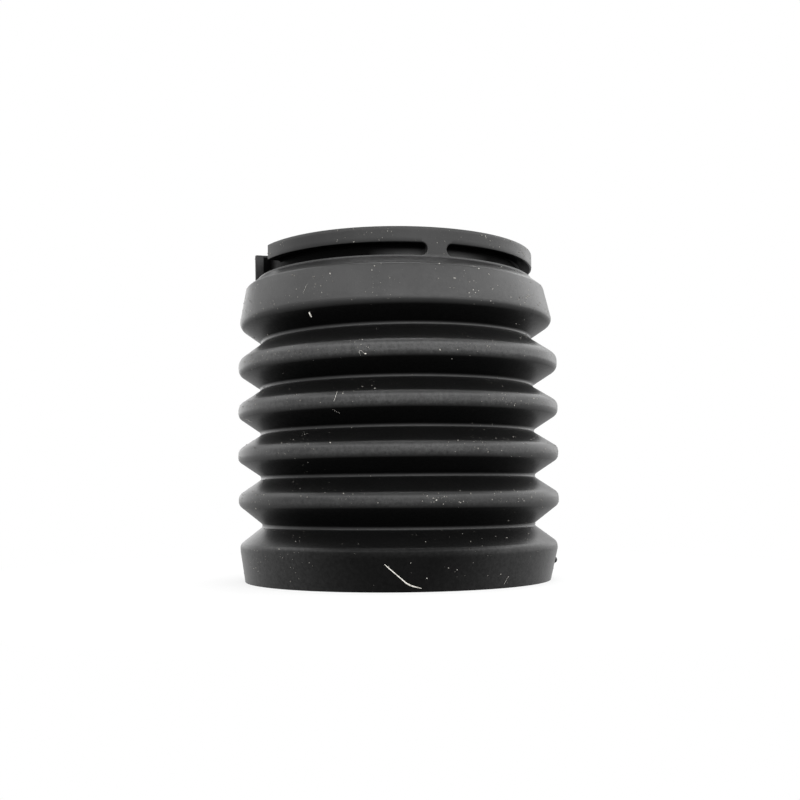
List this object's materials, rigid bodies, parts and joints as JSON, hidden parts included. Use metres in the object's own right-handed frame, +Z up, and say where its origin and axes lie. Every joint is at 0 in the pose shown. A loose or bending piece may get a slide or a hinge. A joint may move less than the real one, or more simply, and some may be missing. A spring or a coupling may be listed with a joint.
{
  "type": "rubber bellows boot",
  "caption": "Round black rubber bellows boot with V-shaped folds, a plain cuff at the bottom and a slotted collar at the top.",
  "frame": {"origin": "centre of the cuff's bottom face", "axes": "+Z up along the boot's axis from the cuff to the slotted collar, -Y towards the front, with the keyway 71.7 degrees round towards -X"},
  "size_m": [0.1, 0.1, 0.1013],
  "materials": {
    "rubber": "matte to satin, as moulded, with light dust"
  },
  "bodies": {
    "root": {"bellows_boot": "rubber"}
  },
  "joints": []
}
